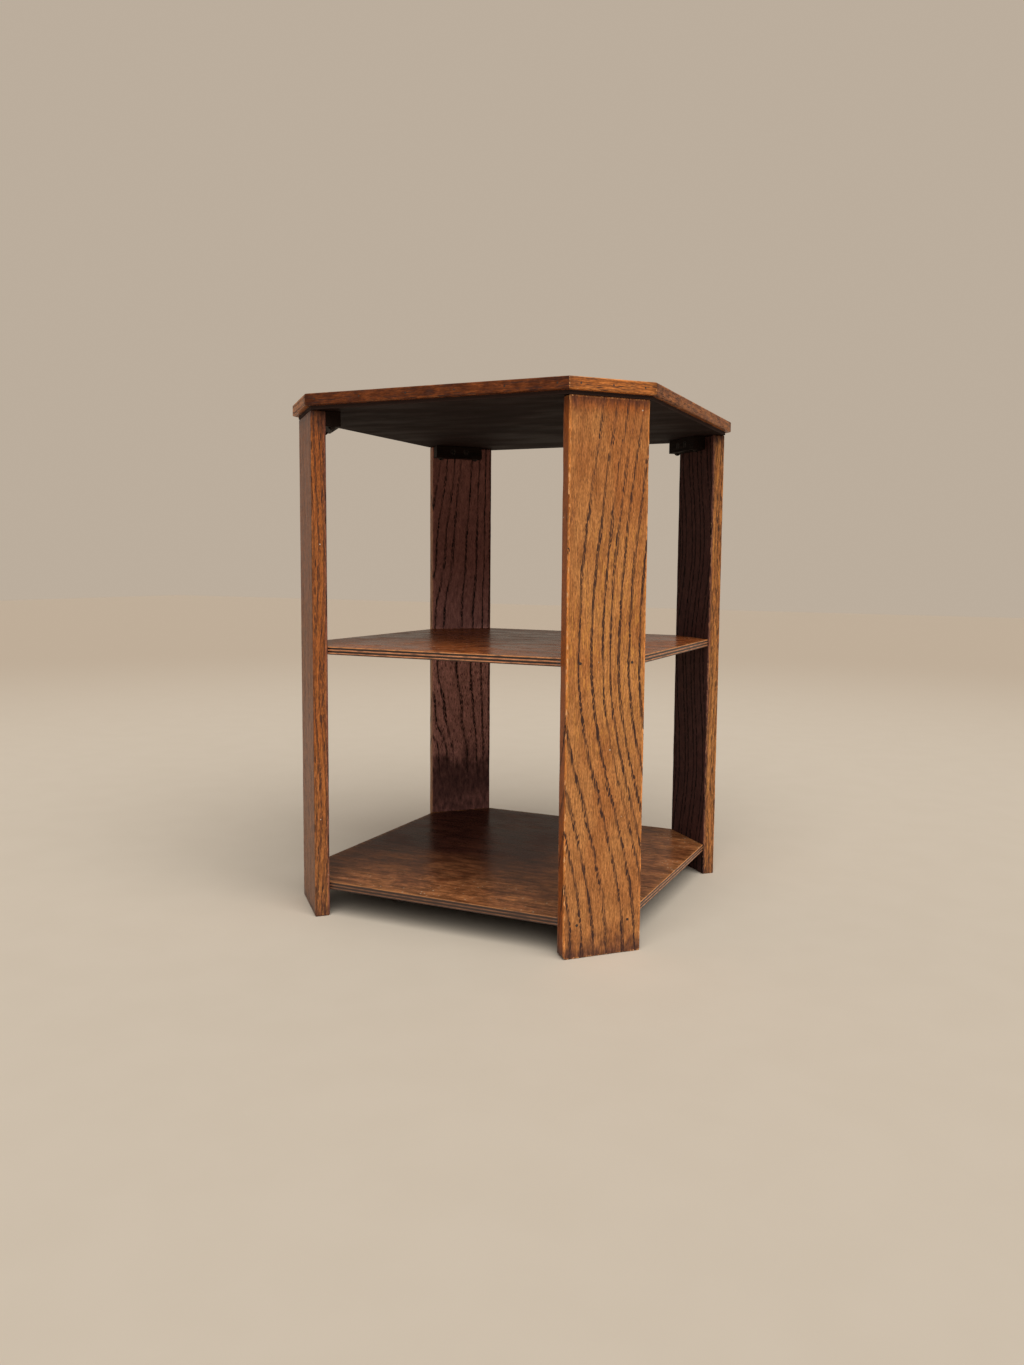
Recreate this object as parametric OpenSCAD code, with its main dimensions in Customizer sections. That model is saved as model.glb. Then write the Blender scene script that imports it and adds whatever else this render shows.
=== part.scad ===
// Book table: an eight-sided top on four plank legs, with two open shelves between them.
// Millimetres, +Z up, origin on the floor at the centre of the table. The front is the -Y side.

/* [Overall] */
// Height from the floor to the top face
total_h = 560; // [460:1:760]
// Width of the top between two opposite long sides
top_across = 425; // [360:1:640]

/* [Top] */
// Thickness of the top panel
panel_t = 15.6; // [13:0.1:25]
// Thickness of the lipping strips round the panel
lip_t = 6.4; // [4:0.1:10]
// Height of the lipping, down from the top face
lip_h = 12; // [8:0.1:13]
// Radius along the top outer edge of the lipping
lip_round = 1.6; // [0.4:0.1:3]

/* [Legs] */
// Width of a leg
leg_w = 84; // [70:0.5:110]
// Thickness of a leg
leg_t = 16; // [13:0.1:25]
// Radius along a leg's upright edges
leg_round = 1.4; // [0.4:0.1:3]
// Bare width of the panel's corner face on each side of a leg
leg_margin = 0.6; // [0:0.1:8]

/* [Shelves] */
// Thickness of the plywood shelves
shelf_t = 8.6; // [6:0.1:15]
// Height of the low shelf's upper face
low_shelf_z = 38; // [24:0.5:150]
// Height of the mid shelf's upper face
mid_shelf_z = 296; // [200:0.5:400]
// Distance that a shelf's straight edges stand inside the legs' inner edges
shelf_inset = 0.4; // [0:0.1:10]
// Gap between a shelf's cut corner and the leg it butts against
shelf_gap = 0.2; // [0:0.05:0.5]

/* [Corner blocks] */
// Length of a corner block along its leg's inner face
block_len = 64; // [52:1:68]
// Depth of a corner block, inwards from the leg
block_d = 16; // [12:0.5:24]
// Height of a corner block
block_h = 16; // [12:0.5:24]
// Distance from one upright edge of the leg to the end of its block
block_setback = 1; // [0:0.5:4]

/* [Shelf nails] */
// Diameter of a nail's shank
nail_d = 2; // [1.4:0.1:2.4]
// Length of a nail
nail_len = 38; // [28:1:50]
// Diameter of a nail's head
nail_head_d = 2.8; // [2.5:0.1:3.6]
// Height of a nail's head
nail_head_h = 1; // [0.6:0.1:1.5]
// Depth of a punched nail head below the leg's face
nail_punch = 2; // [1:0.1:4]
// Distance between the two nails that hold one corner of a shelf
nail_spread = 55; // [30:1:62]

/* [Lipping pins] */
// Diameter of a pin's shank
pin_d = 1.2; // [0.8:0.1:1.4]
// Length of a pin
pin_len = 18; // [12:1:22]
// Diameter of a pin's head
pin_head_d = 1.8; // [1.5:0.1:2.6]
// Height of a pin's head
pin_head_h = 0.6; // [0.4:0.1:1]
// Depth of a punched pin head below the lipping's face
pin_punch = 1.2; // [0.6:0.1:2]
// Distance from the end of a strip to its outermost pin
pin_margin = 12; // [9:0.5:20]
// Longest distance between neighbouring pins in a strip
pin_pitch = 60; // [30:1:120]

/* [Block screws] */
// Diameter of a screw's shank
screw_d = 4; // [3:0.1:5]
// Length of a screw beyond the block, in the leg or the panel
screw_grip = 10; // [7:0.5:11.5]
// Diameter of a screw's head
screw_head_d = 8; // [6.5:0.1:9.5]
// Height of the round head on a screw that holds the top
screw_head_h = 2.8; // [2:0.1:3.2]
// Width of the driver slot
slot_w = 1.1; // [0.8:0.1:1.6]
// Depth of the driver slot
slot_deep = 1.2; // [0.6:0.1:1.6]
// Distance from a block's end to the screw that holds the top
top_screw_margin = 8; // [6:0.5:10]
// Distance between the two screws that hold a block to its leg
leg_screw_spread = 18; // [10:1:20]

/* [Fits] */
// Gap all round a nail, pin, screw or plug in its hole
fastener_gap = 0.05; // [0.02:0.01:0.1]

/* [Hidden] */
$fn = 32;

// Length by which a cutter passes the face it cuts
over = 1;
// Share of a fastener's diameter that its point is long
point_share = 1.5;

// Corners and sides, counted anticlockwise in steps of 45 degrees from +X
RIGHT = 0;
BACK_RIGHT = 1;
BACK = 2;
BACK_LEFT = 3;
LEFT = 4;
FRONT_LEFT = 5;
FRONT = 6;
FRONT_RIGHT = 7;
SIDES = [RIGHT, BACK, LEFT, FRONT];
CORNERS = [BACK_RIGHT, BACK_LEFT, FRONT_LEFT, FRONT_RIGHT];

// Underside of the panel, where the legs and the blocks end
leg_h = total_h - panel_t;
// Distances from the centre to the panel's long sides and to its corner faces
panel_half = top_across / 2 - lip_t;
panel_diag = panel_half * sqrt(2) - leg_w / 2 - leg_margin;
// Distances from the centre to a leg's outer and inner faces, along the corner's diagonal
leg_outer = panel_diag;
leg_inner = leg_outer - leg_t;
// Distances from the centre to a shelf's straight sides and to its cut corners
shelf_half = (leg_inner + leg_w / 2) / sqrt(2) - shelf_inset;
shelf_diag = leg_inner - shelf_gap;
// Middle of a block along its leg, and the offsets of its screws from there
block_mid = leg_w / 2 - block_setback - block_len / 2;
top_screw_y = block_len / 2 - top_screw_margin;
leg_screw_y = leg_screw_spread / 2;
// Height of the row of pins
pin_z = total_h - lip_h / 2;

oak = [0.50, 0.27, 0.11];
lipping_oak = [0.42, 0.20, 0.09];
shelf_ply = [0.36, 0.18, 0.10];
panel_ply = [0.24, 0.14, 0.09];
batten = [0.27, 0.15, 0.09];
dark_steel = [0.30, 0.28, 0.26];
stopping = [0.14, 0.08, 0.05];

// Half the length of one side of an eight-sided outline, from its own and its neighbours' distances
function side_half(own, next) = next * sqrt(2) - own;

// Distance from the centre to one side of the panel
function panel_side(side) = side % 2 == 0 ? panel_half : panel_diag;

// Half the length of a lipping strip, along its outer face
function strip_half(side) = side_half(panel_side(side) + lip_t, panel_side(side + 1) + lip_t);

// Places of the pins along a strip of the given half length
function pin_places(half) =
    let (span = 2 * (half - pin_margin), gaps = ceil(span / pin_pitch))
    [for (i = [0:gaps]) span * (i / gaps - 0.5)];

module facing(side) {
    rotate([0, 0, 45 * side]) children();
}

// Turns a shape drawn along +Z so that it runs inwards, to the centre
module inwards() {
    rotate([0, -90, 0]) children();
}

// Turns a shape drawn along +Z so that it runs outwards, from the centre
module outwards() {
    rotate([0, 90, 0]) children();
}

// Square board with its corners cut off
module cut_cornered_board(half, diag, thick) {
    end = side_half(half, diag);
    quarter = [[half, -end], [half, end]];
    turned = [for (q = [0:3]) for (p = quarter)
        [p.x * cos(90 * q) - p.y * sin(90 * q), p.x * sin(90 * q) + p.y * cos(90 * q)]];
    linear_extrude(thick) polygon(turned);
}

// Upright plank with rounded edges, its outer face in the plane x = 0
module plank(wide, thick, high, r) {
    linear_extrude(high) {
        translate([-thick + r, -wide / 2]) square([thick - 2 * r, wide]);
        translate([-thick, -wide / 2 + r]) square([thick, wide - 2 * r]);
        for (x = [-thick + r, -r], y = [-wide / 2 + r, wide / 2 - r]) translate([x, y]) circle(r);
    }
}

// Nail or pin with a punched head, driven along +Z into a face at z = 0
module punched_nail(shank_d, long, head_d, head_h, punch) {
    point = shank_d * point_share;
    translate([0, 0, punch]) {
        cylinder(d = head_d, h = head_h);
        cylinder(d = shank_d, h = long - point);
        translate([0, 0, long - point]) cylinder(d1 = shank_d, d2 = shank_d / 5, h = point);
    }
}

// Hole for such a nail and the plug over its head
module punched_hole(shank_d, long, head_d, head_h, punch) {
    head_end = punch + head_h + fastener_gap;
    translate([0, 0, -over]) cylinder(d = head_d + 2 * fastener_gap, h = over + head_end);
    cylinder(d = shank_d + 2 * fastener_gap, h = punch + long + fastener_gap);
}

module shelf_nail() {
    punched_nail(nail_d, nail_len, nail_head_d, nail_head_h, nail_punch);
}

module shelf_nail_hole() {
    punched_hole(nail_d, nail_len, nail_head_d, nail_head_h, nail_punch);
}

module lipping_pin() {
    punched_nail(pin_d, pin_len, pin_head_d, pin_head_h, pin_punch);
}

module lipping_pin_hole() {
    punched_hole(pin_d, pin_len, pin_head_d, pin_head_h, pin_punch);
}

// Plain shank and point of a screw that runs through a block and grips beyond it
module screw_shank(through) {
    long = through + screw_grip;
    point = screw_d * point_share;
    cylinder(d = screw_d, h = long - point);
    translate([0, 0, long - point]) cylinder(d1 = screw_d, d2 = screw_d / 5, h = point);
}

// Cone under a countersunk head, with a gap all round
module countersink(gap) {
    cylinder(d1 = screw_head_d + 2 * gap, d2 = screw_d + 2 * gap, h = (screw_head_d - screw_d) / 2);
}

// Cutter for the driver slot of a head whose crown is at the given height
module driver_slot(crown) {
    translate([-screw_head_d, -slot_w / 2, crown - over])
        cube([2 * screw_head_d, slot_w, over + slot_deep]);
}

// Round-head screw, driven along +Z with its head under a face at z = 0
module round_head_screw(through) {
    ball_r = (pow(screw_head_d / 2, 2) + pow(screw_head_h, 2)) / (2 * screw_head_h);
    difference() {
        intersection() {
            translate([0, 0, ball_r - screw_head_h]) sphere(ball_r);
            translate([0, 0, -screw_head_h]) cylinder(d = screw_head_d + over, h = screw_head_h);
        }
        driver_slot(-screw_head_h);
    }
    screw_shank(through);
}

// Countersunk screw, driven along +Z with its head flush with a face at z = 0
module countersunk_screw(through) {
    difference() {
        union() {
            countersink(0);
            screw_shank(through);
        }
        driver_slot(0);
    }
}

module screw_hole(through) {
    depth = through + screw_grip + fastener_gap;
    translate([0, 0, -over]) cylinder(d = screw_d + 2 * fastener_gap, h = over + depth);
}

module countersunk_hole(through) {
    screw_hole(through);
    countersink(fastener_gap);
    translate([0, 0, -over]) cylinder(d = screw_head_d + 2 * fastener_gap, h = over);
}

// Puts its child at each nail that holds a shelf, on the outer faces of the given legs
module at_shelf_nails(shelf_z, corners) {
    for (corner = corners, end = [-1, 1])
        facing(corner)
            translate([leg_outer, end * nail_spread / 2, shelf_z - shelf_t / 2])
                inwards() children();
}

// Puts its child at each pin of the given lipping strips, on their outer faces
module at_lipping_pins(sides) {
    for (side = sides, y = pin_places(strip_half(side)))
        facing(side)
            translate([panel_side(side) + lip_t, y, pin_z])
                inwards() children();
}

// Puts its child at each screw that holds a block to its leg, on the blocks' inner faces
module at_leg_screws(corners) {
    for (corner = corners, end = [-1, 1])
        facing(corner)
            translate([leg_inner - block_d, block_mid + end * leg_screw_y, leg_h - block_h / 2])
                outwards() children();
}

// Puts its child at each screw that holds the top, under the blocks
module at_top_screws(corners) {
    for (corner = corners, end = [-1, 1])
        facing(corner)
            translate([leg_inner - block_d / 2, block_mid + end * top_screw_y, leg_h - block_h])
                children();
}

module lipping_strip(side) {
    inner = panel_side(side);
    outer = inner + lip_t;
    ends = strip_half(side);
    inner_ends = side_half(inner, panel_side(side + 1));
    color(lipping_oak) difference() {
        facing(side) translate([0, 0, total_h - lip_h]) intersection() {
            linear_extrude(lip_h)
                polygon([[outer, -ends], [outer, ends], [inner, inner_ends], [inner, -inner_ends]]);
            rotate([90, 0, 0]) linear_extrude(2 * ends, center = true) translate([inner, 0]) {
                square([lip_t - lip_round, lip_h]);
                square([lip_t, lip_h - lip_round]);
                translate([lip_t - lip_round, lip_h - lip_round]) circle(lip_round);
            }
        }
        at_lipping_pins([side]) lipping_pin_hole();
    }
}

module leg(corner) {
    color(oak) difference() {
        facing(corner) translate([leg_outer, 0, 0]) plank(leg_w, leg_t, leg_h, leg_round);
        for (shelf_z = [mid_shelf_z, low_shelf_z]) at_shelf_nails(shelf_z, [corner]) shelf_nail_hole();
        at_leg_screws([corner]) screw_hole(block_d);
    }
}

module shelf(shelf_z) {
    color(shelf_ply) difference() {
        translate([0, 0, shelf_z - shelf_t]) cut_cornered_board(shelf_half, shelf_diag, shelf_t);
        at_shelf_nails(shelf_z, CORNERS) shelf_nail_hole();
    }
}

module corner_block(corner) {
    color(batten) difference() {
        facing(corner)
            translate([leg_inner - block_d, block_mid - block_len / 2, leg_h - block_h])
                cube([block_d, block_len, block_h]);
        at_leg_screws([corner]) countersunk_hole(block_d);
        at_top_screws([corner]) screw_hole(block_h);
    }
}

module top_panel() {
    color(panel_ply) difference() {
        translate([0, 0, leg_h]) cut_cornered_board(panel_half, panel_diag, panel_t);
        at_lipping_pins(concat(SIDES, CORNERS)) lipping_pin_hole();
        at_top_screws(CORNERS) screw_hole(block_h);
    }
}

module front_lipping() { lipping_strip(FRONT); }
module right_lipping() { lipping_strip(RIGHT); }
module back_lipping() { lipping_strip(BACK); }
module left_lipping() { lipping_strip(LEFT); }
module front_right_lipping() { lipping_strip(FRONT_RIGHT); }
module back_right_lipping() { lipping_strip(BACK_RIGHT); }
module back_left_lipping() { lipping_strip(BACK_LEFT); }
module front_left_lipping() { lipping_strip(FRONT_LEFT); }

module front_right_leg() { leg(FRONT_RIGHT); }
module back_right_leg() { leg(BACK_RIGHT); }
module back_left_leg() { leg(BACK_LEFT); }
module front_left_leg() { leg(FRONT_LEFT); }

module mid_shelf() { shelf(mid_shelf_z); }
module low_shelf() { shelf(low_shelf_z); }

module front_right_block() { corner_block(FRONT_RIGHT); }
module back_right_block() { corner_block(BACK_RIGHT); }
module back_left_block() { corner_block(BACK_LEFT); }
module front_left_block() { corner_block(FRONT_LEFT); }

module mid_shelf_nails() {
    color(dark_steel) at_shelf_nails(mid_shelf_z, CORNERS) shelf_nail();
}

module low_shelf_nails() {
    color(dark_steel) at_shelf_nails(low_shelf_z, CORNERS) shelf_nail();
}

// Plugs that hide the nail heads
module nail_stopping() {
    color(stopping) for (shelf_z = [mid_shelf_z, low_shelf_z])
        at_shelf_nails(shelf_z, CORNERS) cylinder(d = nail_head_d, h = nail_punch);
}

module lipping_pins() {
    color(dark_steel) at_lipping_pins(concat(SIDES, CORNERS)) lipping_pin();
}

// Plugs that hide the pin heads
module pin_stopping() {
    color(stopping) at_lipping_pins(concat(SIDES, CORNERS)) cylinder(d = pin_head_d, h = pin_punch);
}

module leg_screws() {
    color(dark_steel) at_leg_screws(CORNERS) countersunk_screw(block_d);
}

module top_screws() {
    color(dark_steel) at_top_screws(CORNERS) round_head_screw(block_h);
}

top_panel();
front_lipping();
right_lipping();
back_lipping();
left_lipping();
front_right_lipping();
back_right_lipping();
back_left_lipping();
front_left_lipping();
front_right_leg();
back_right_leg();
back_left_leg();
front_left_leg();
mid_shelf();
low_shelf();
front_right_block();
back_right_block();
back_left_block();
front_left_block();
mid_shelf_nails();
low_shelf_nails();
nail_stopping();
lipping_pins();
pin_stopping();
leg_screws();
top_screws();
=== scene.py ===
"""Looks of a small oak book table: boards, plywood and finishes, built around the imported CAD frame."""

import math

import bmesh
import bpy
import numpy as np
from mathutils import Matrix, Vector, noise


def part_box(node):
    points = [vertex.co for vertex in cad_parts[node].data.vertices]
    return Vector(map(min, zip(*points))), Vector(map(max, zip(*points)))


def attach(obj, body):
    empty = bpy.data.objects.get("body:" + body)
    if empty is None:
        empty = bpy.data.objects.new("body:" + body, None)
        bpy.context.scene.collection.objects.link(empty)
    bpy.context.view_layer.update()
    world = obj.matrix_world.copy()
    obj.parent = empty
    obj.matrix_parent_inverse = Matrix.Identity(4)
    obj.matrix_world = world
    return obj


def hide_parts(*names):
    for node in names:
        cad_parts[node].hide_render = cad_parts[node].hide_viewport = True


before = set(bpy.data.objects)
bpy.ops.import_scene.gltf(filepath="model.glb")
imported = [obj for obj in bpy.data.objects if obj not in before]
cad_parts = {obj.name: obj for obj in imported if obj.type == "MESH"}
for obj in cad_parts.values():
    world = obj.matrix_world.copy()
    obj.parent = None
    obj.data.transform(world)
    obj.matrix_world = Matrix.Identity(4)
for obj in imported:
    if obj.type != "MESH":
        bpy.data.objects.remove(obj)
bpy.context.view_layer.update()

MM = 0.001
UP = np.array([0.0, 0.0, 1.0])
TINY = 1e-9

# Which way each corner and side faces, as an angle from +X in degrees
CORNERS = {"front_right": -45, "back_right": 45, "back_left": 135, "front_left": 225}
SIDES = {"front": -90, "right": 0, "back": 90, "left": 180}

# Camera, fitted to the photograph's frame of 1024 x 1365 pixels
IMAGE_WIDTH = 1024
IMAGE_HEIGHT = 1365
FOCAL_PIXELS = 1040.08
CENTRE_U = 539.22
CENTRE_V = 661.34
CAMERA_PLACE = (0.52224, -1.11799, 0.38588)
CAMERA_AZIMUTH = math.radians(23.9034)
CAMERA_PITCH = math.radians(5.3191)
CAMERA_ROLL = math.radians(-0.585)
SENSOR_MM = 36.0

# One soft light from far away, and the floor's reach in metres
SUN_HEIGHT = math.radians(52.0)
SUN_AZIMUTH = math.radians(-50.0)
SUN_WIDTH = math.radians(70.0)
SUN_STRENGTH = 3.2
SUN_COLOUR = (1.0, 0.97, 0.92)
FLOOR_REACH = 8.0

# Shape of the boards, in mm
LEG_ARRIS = 1.45
LEG_ARRIS_WEAR = 1.1
BLOCK_ARRIS = 0.7
STRIP_ARRIS = 1.5
STRIP_JOINT_ARRIS = 0.25
STRIP_CORNER_RADIUS = 4.0
MITRE = math.tan(math.radians(22.5))
MITRE_GAP = 0.06
UNEVEN_DEPTH = 0.12
UNEVEN_LENGTH = 45.0
WEAR_LENGTH = 26.0
HOLE_CLEARANCE = 0.06
SCREW_MARGIN = 12.0
FRONT_FOOT_CORNER = 5.0
SHARP_ANGLE = math.radians(40)

# Where a board's mesh is cut near its edges, and the steps between other cuts along its axes, in mm
LEG_CUTS = (0.0, 0.35, 0.7, 1.1, 1.5, 2.0, 2.8, 4.2)
LEG_STEPS = (4.0, 4.0, 3.0)
BLOCK_CUTS = (0.0, 0.2, 0.4, 0.7, 1.2, 2.0)
BLOCK_STEPS = (4.0, 4.0, 4.0)
STRIP_CUTS = (0.0, 0.3, 0.6, 1.0, 1.5, 2.2)
STRIP_END_CUTS = (0.0, 0.3, 0.6, 1.0, 1.4, 1.8, 2.4, 4.0)
STRIP_STEPS = (2.0, 1.5, 4.0)

# Shape of the shelves and the top panel, in mm. Plies are shares of the thickness, from the upper face down
PLY_SHARES = (0.13, 0.22, 0.17, 0.22, 0.26)
PLY_GROOVE = 0.16
PLY_SLOPE = 0.12
SHELF_ARRIS = 0.8
PANEL_ARRIS = 0.7
PANEL_JOINT_ARRIS = 0.25
PANEL_CUT_SHARES = (0.75, 0.5, 0.3, 0.2, 0.12)
FACE_MARGIN = 30.0
FACE_STEPS = 14
FACE_CUTS = (FACE_MARGIN, 16.0, 9.0, 5.0, 3.0, 1.8)
LONG_STEPS = 40
SHORT_STEPS = 12
ARRIS_STEPS = 4

# Rings on the top's veneer, in mm: the log's heart, and waves of (amount, length, shift) in the rings
FACE_RING_WIDTH = 6.6
HEART_PLACE = 60.0
HEART_DEPTH = 90.0
HEART_SWAY = 14.0
HEART_SWAY_LENGTH = 120.0
RING_WAVES = ((3.4, 14.0, 0.0), (2.0, 6.0, 1.0))
TOP_RINGS = 0.66

# How far a shelf's face is made lighter, by wear and by painted light, by the distance in mm from its
# middle to the front or the right; towards the left it fades into painted shade
FRONT_WEAR_AND_LIGHT = [(-200, 0), (10, 0), (95, 0.53), (165, 1.0), (200, 1.0)]
LEFT_SHADE_FADE = [(-200, 0.5), (-60, 1.0), (200, 1.0)]
MID_SHELF_WEAR_AND_LIGHT = 0.37
LOW_SHELF_GRIME = 0.74
GRIME_REACH = 12.0
GRIME_FADE = 6.0

# How each leg is sawn from its log, in mm. Rings lie at the listed places across the seen face, where the
# drift is 0 and the stretch is 1. Drift and stretch are paths up the leg, and the lean takes the rings
# through the thickness from the seen face's depth. A knot pushes rings aside, and on a
# bare spot they fade; both are given by their place across and up, width and height.
PLAIN_FIGURE = {"drift": 0, "stretch": 1, "seen_depth": 0.0}
LEG_FIGURES = {
    "front_right": {
        "rings": (-70, -57, -44, -32, -20, -6, 12.5, 26, 38, 45.5, 54.5, 66, 77, 90, 101, 114),
        "drift": [(0, 52), (296, 0), (800, 50)],
        "lean": 0.6, "knot": (3, 478, 11, 26), "bare": (4, 490, 14, 95), "seed": 3,
    },
    "back_right": {
        "rings": (-52, -40, -33, -17, -9, 4, 11, 28, 37, 43, 58, 71, 78, 94, 104),
        "drift": [(0, 14), (130, -3), (280, 10), (410, -8), (544, 6)],
        "lean": -2.6, "seed": 11,
    },
    "back_left": {
        "rings": (-26, -12, 2, 12, 25, 43, 68, 80, 95, 110, 130),
        "stretch": [(0, 0.62), (120, 0.8), (180, 1.0), (245, 1.14), (311, 1.0), (401, 0.82), (544, 0.66)],
        "lean": 0.5, "seen_depth": 16.0, "seed": 23,
    },
    "front_left": {
        "rings": (-40, -27, -20, -6, 9, 15, 29, 36, 52, 59, 74, 81, 93, 108, 115, 130),
        "drift": [(0, -6), (120, 9), (250, -7), (390, 8), (544, -4)],
        "lean": 2.4, "seed": 37,
    },
}
KNOT_PUSH = 11.0
BARE_SHARE = 0.85
LEAST_DENSITY = 0.03
FIBRE_SHIFT = np.array([137.0, 59.0, 211.0])
BLOCK_SEED = 51
STRIP_SEED = 71

# Tones along each board, as paths of (distance from its lower or first end in mm, share), or as one share:
# how strongly its rings show, how dark and how red it is, how far its inner face takes the painted shade
# colour, how far that face is darkened by dirt and more painted shade, and how far that colour turns paler
# with dust and painted light. Then come four shares: how red its first narrow side is, how far its arrises
# are worn, how strongly rings show on its outer face, and how dark its outer face is made as painted shade.
PLAIN_TONES = {
    "rings": 0.8, "dark": 0.1, "red": 0.2, "inner_shade": 0.9, "inner_dirt_and_shade": 0.0, "inner_dust_and_light": 0.0,
    "low_side": 0.0, "wear": 0.35, "face_rings": 1.0, "outer_painted_shade": 0.0,
}
BOARD_TONES = {
    "front_right_leg": {
        "rings": [(0, 0.95), (120, 1.0), (330, 1.3), (410, 1.2), (455, 0.72), (544, 0.68)],
        "dark": [(0, 0.62), (12, 0.34), (28, 0.1), (60, 0.04), (240, 0), (532, 0), (544, 0.3)],
        "red": [(0, 0.2), (60, 0), (400, 0), (470, 0.2), (525, 0.05), (538, 0.7), (544, 0.7)],
        "inner_dirt_and_shade": 0.5, "low_side": 1.0, "wear": 1.3,
    },
    "back_right_leg": {
        "rings": 1.2,
        "dark": [(0, 0.4), (30, 0), (520, 0), (536, 0.2), (544, 0.6)],
        "red": [(0, 0), (280, 0), (544, 0.05)],
        "inner_dirt_and_shade": [(0, 0.94), (544, 0.93)],
        "inner_shade": 1.0, "wear": 0.6, "face_rings": 0.5,
    },
    "back_left_leg": {
        "rings": [(0, 0.3), (75, 0.4), (125, 0.95), (285, 1.1), (310, 0.88), (544, 0.78)],
        "dark": [(0, 0.4), (30, 0.2), (544, 0.2)],
        "red": [(0, 0.3), (280, 0.1), (544, 0.4)],
        "inner_shade": 1.0,
        "inner_dirt_and_shade": [(0, 0.6), (50, 0.65), (78, 0.88), (96, 0.85), (140, 0), (290, 0), (544, 0.12)],
        "inner_dust_and_light": [(0, 0), (70, 0.1), (145, 0.9), (285, 1.0), (300, 0.25), (400, 0.1), (544, 0.1)],
    },
    "front_left_leg": {
        "rings": 1.2,
        "dark": [(0, 0.7), (26, 0.2), (200, 0), (515, 0), (534, 0.5), (544, 0.8)],
        "red": [(0, 0.35), (200, 0.7), (544, 0.8)],
        "inner_dirt_and_shade": 0.5, "wear": 0.4, "face_rings": 0.5, "outer_painted_shade": 0.42,
    },
    "front_lipping": {"rings": 0.6, "dark": [(0, 0.78), (300, 0.74)], "red": 1.0},
    "right_lipping": {"rings": 0.6, "dark": [(0, 0.5), (300, 0.46)], "red": 0.2},
    "front_right_lipping": {"rings": 0.68, "dark": 0.0, "red": 0.0, "wear": 0.6},
}
# Where the inner face's tones begin and how fast they rise, in shares of the thickness
INNER_FROM = 0.8
INNER_OVER = 0.2
# How far the red of the narrow side reaches round its arris, in mm
SIDE_REACH = 1.6
# Darkening along a board has a ragged border, of this reach and hill length in mm
RAGGED_REACH = 18.0
RAGGED_LENGTH = 22.0
# A distance that counts as far from every edge, in mm
UNSEEN = 200.0

# Linear colours. For each kind of oak board: light, deep, worn and grimy wood; the grimy colour also serves
# as painted shade on faces that are darkened for shade
LEG_OAK = ((0.44, 0.187, 0.061), (0.35, 0.138, 0.045), (0.62, 0.22, 0.055), (0.067, 0.028, 0.0245))
LIPPING_OAK = ((0.58, 0.212, 0.056), (0.4, 0.13, 0.033), (0.58, 0.22, 0.06), (0.072, 0.021, 0.01))
TOP_OAK = ((0.38, 0.15, 0.042), (0.22, 0.075, 0.02), (0.46, 0.19, 0.05), (0.067, 0.028, 0.0245))
OAK_RED = (0.31, 0.086, 0.021)
OAK_PORE = (0.04, 0.021, 0.018)
# Golden streak colour, partly wood and partly painted highlight
OAK_GOLD_AND_HIGHLIGHT = (0.66, 0.29, 0.062)
# Painted shade of an inner face: oak darkened and tinted mauve, as if lying in bluish shade
OAK_PAINTED_SHADE = (0.28, 0.115, 0.094)
# Paler colour of an inner face, partly dust and partly painted light reaching the lower bay
OAK_DUST_AND_LIGHT = (0.63, 0.295, 0.245)
# A pore's colour on a face in painted shade
OAK_PORE_IN_PAINTED_SHADE = (0.01, 0.006, 0.006)
OAK_SPECK = (0.62, 0.5, 0.38)
OAK_CHIP = (0.76, 0.38, 0.16)
# Other linear colours; a pair holds the darker and the lighter colour of a grain or a mottle
# A shelf face's dark pair is painted shade; its worn and lit pair is wear and painted light
FACE_DARK = ((0.034, 0.0105, 0.0078), (0.056, 0.018, 0.011))
FACE_WORN_AND_LIT = ((0.155, 0.052, 0.02), (0.3, 0.116, 0.043))
FACE_WARM = (1.0, 0.75, 0.58)
FACE_PORE = (0.03, 0.012, 0.008)
FACE_WORN = (0.4, 0.17, 0.055)
FACE_SCUFF = (0.56, 0.38, 0.25)
PLY_LIGHT = ((0.24, 0.086, 0.038), (0.8, 0.345, 0.16))
PLY_END = ((0.006, 0.004, 0.003), (0.03, 0.014, 0.009))
PLY_RUBBED_AND_HIGHLIGHT = (0.6, 0.245, 0.07)
PLY_BLOTCH = (0.045, 0.022, 0.014)
PLY_LOWEST_GRIME_AND_SHADE = (0.022, 0.011, 0.008)
PLY_GRIME = (0.036, 0.018, 0.013)
UNDER_GRAIN_IN_PAINTED_SHADE = ((0.009, 0.005, 0.004), (0.024, 0.011, 0.008))
UNDER_MOTTLE_IN_PAINTED_SHADE = (0.013, 0.007, 0.006)
UNDER_EDGE_PAINTED_LIGHT = (0.04, 0.025, 0.022)
UNDER_SCRATCH = (0.13, 0.09, 0.065)
# The corner blocks' colours are near-black as painted shade
BATTEN_GRAIN_IN_PAINTED_SHADE = ((0.006, 0.004, 0.003), (0.018, 0.009, 0.006))
BATTEN_EDGE_IN_PAINTED_SHADE = (0.034, 0.016, 0.01)
WAX_GRAIN = ((0.016, 0.009, 0.007), (0.045, 0.022, 0.014))
# Steel near-black, partly as stained-over steel and partly as painted shade on the shaded blocks
STEEL_GRAIN = ((0.01, 0.008, 0.006), (0.024, 0.019, 0.016))
STEEL_RUST = (0.022, 0.011, 0.008)
FLOOR_NEAR = ((0.615, 0.545, 0.455), (0.625, 0.555, 0.465))
FLOOR_FAR = (0.515, 0.433, 0.345)
ROOM_LIGHT = (0.19, 0.17, 0.155)
BACKDROP = (0.5, 0.42, 0.335)

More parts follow.
